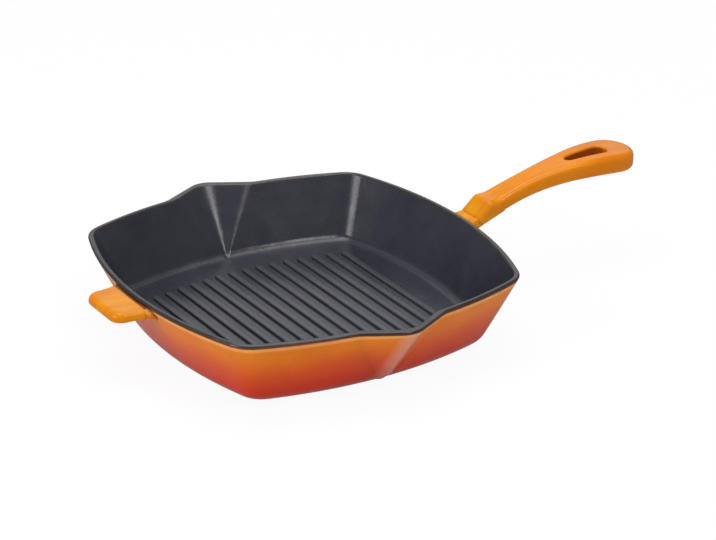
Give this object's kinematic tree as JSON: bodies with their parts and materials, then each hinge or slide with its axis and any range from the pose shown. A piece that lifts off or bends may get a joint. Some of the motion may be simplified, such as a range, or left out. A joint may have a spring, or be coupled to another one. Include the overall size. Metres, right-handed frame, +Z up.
{
  "type": "grill pan",
  "caption": "Square enamelled cast-iron grill pan with flared bowed walls, ribbed floor, a pouring spout on each side, an arched long handle with a hanging hole and a short helper handle.",
  "frame": {"origin": "middle of the plane the pan stands on, that of the ring around its underside, under the centre of the square vessel", "axes": "+Z up out of the pan, +X along the long handle, +Y towards the far pouring spout"},
  "size_m": [0.426, 0.286, 0.0797],
  "materials": {
    "iron_casting": "rough as-cast grey iron",
    "rim_enamel": "semi-gloss dark ground coat",
    "interior_enamel": "satin black enamel",
    "wall_enamel": "gloss enamel graded from orange at the rim to red at the foot",
    "base_enamel": "gloss enamel",
    "long_handle_enamel": "gloss enamel",
    "helper_handle_enamel": "gloss enamel"
  },
  "bodies": {
    "root": {"iron_casting": "iron_casting", "rim_enamel": "rim_enamel", "interior_enamel": "interior_enamel", "wall_enamel": "wall_enamel", "base_enamel": "base_enamel", "long_handle_enamel": "long_handle_enamel", "helper_handle_enamel": "helper_handle_enamel"}
  },
  "joints": []
}
